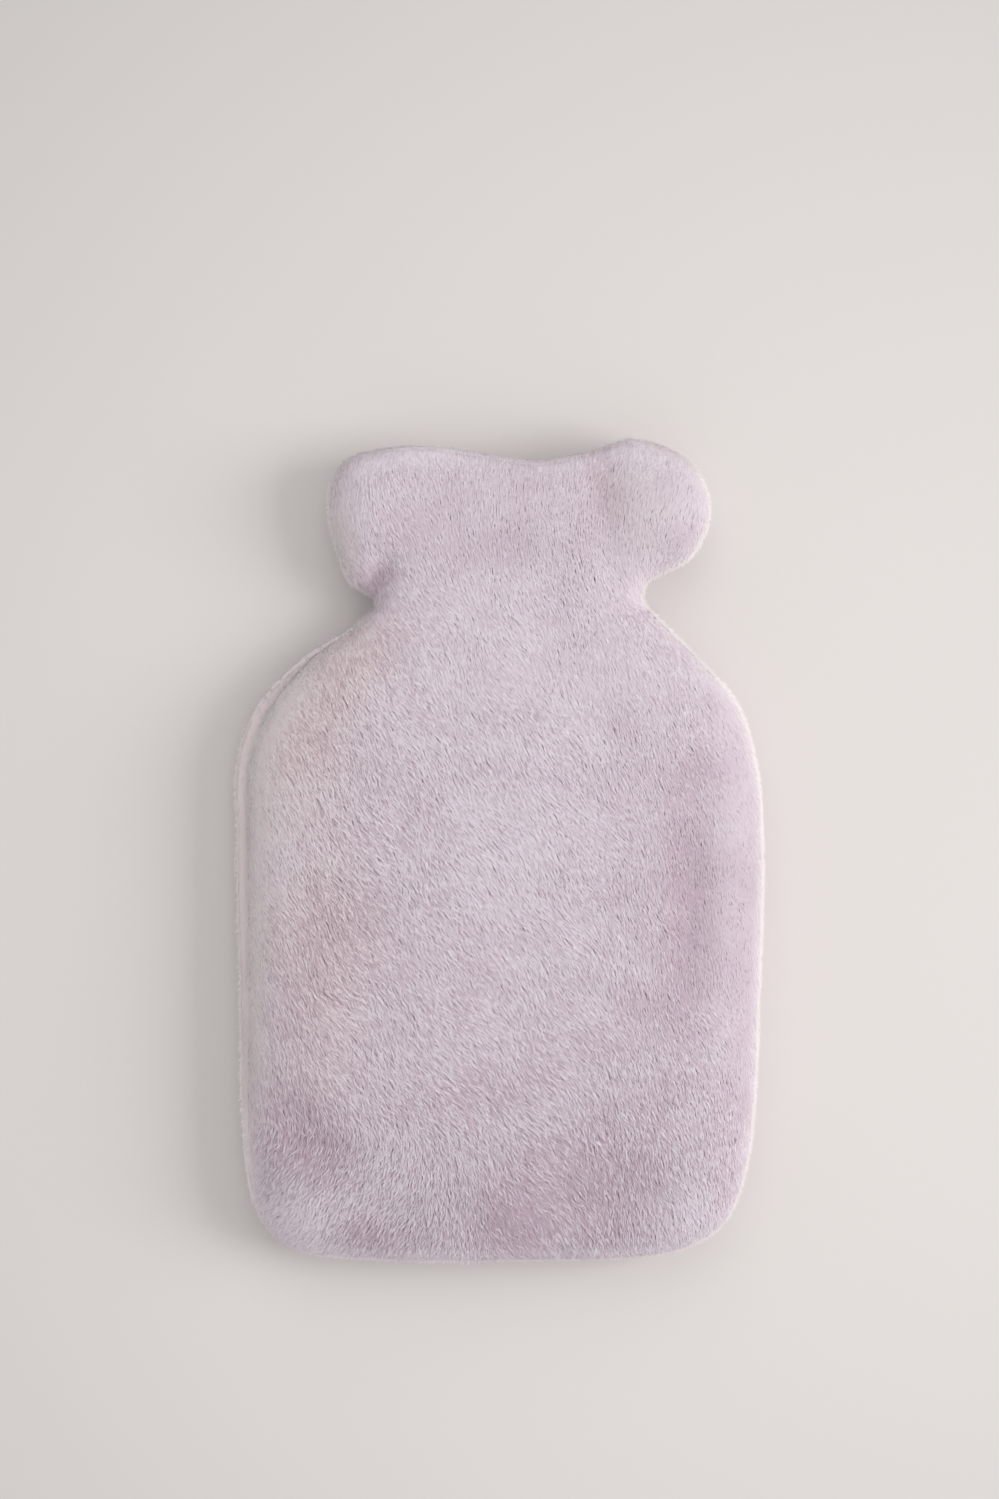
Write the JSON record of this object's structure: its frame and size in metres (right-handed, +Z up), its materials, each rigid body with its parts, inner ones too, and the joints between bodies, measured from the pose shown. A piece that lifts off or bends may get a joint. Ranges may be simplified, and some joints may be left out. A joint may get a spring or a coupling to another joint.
{
  "type": "hot water bottle cover",
  "caption": "Plush cover for a hot water bottle: a domed front and a flat back sewn together, with a drawn-in neck, a lobed collar and an open mouth.",
  "frame": {"origin": "middle of the cover's plan, on the surface that its back lies on", "axes": "+Y from the hem to the mouth, +Z up from the back to the front, +X to the right seen from the front with the mouth at the top"},
  "size_m": [0.2372, 0.3686, 0.044],
  "materials": {
    "front_fur": "matt lilac plush pile",
    "back_fur": "matt lilac plush pile, pressed flat"
  },
  "bodies": {
    "root": {"front_panel": "front_fur", "back_panel": "back_fur"}
  },
  "joints": []
}
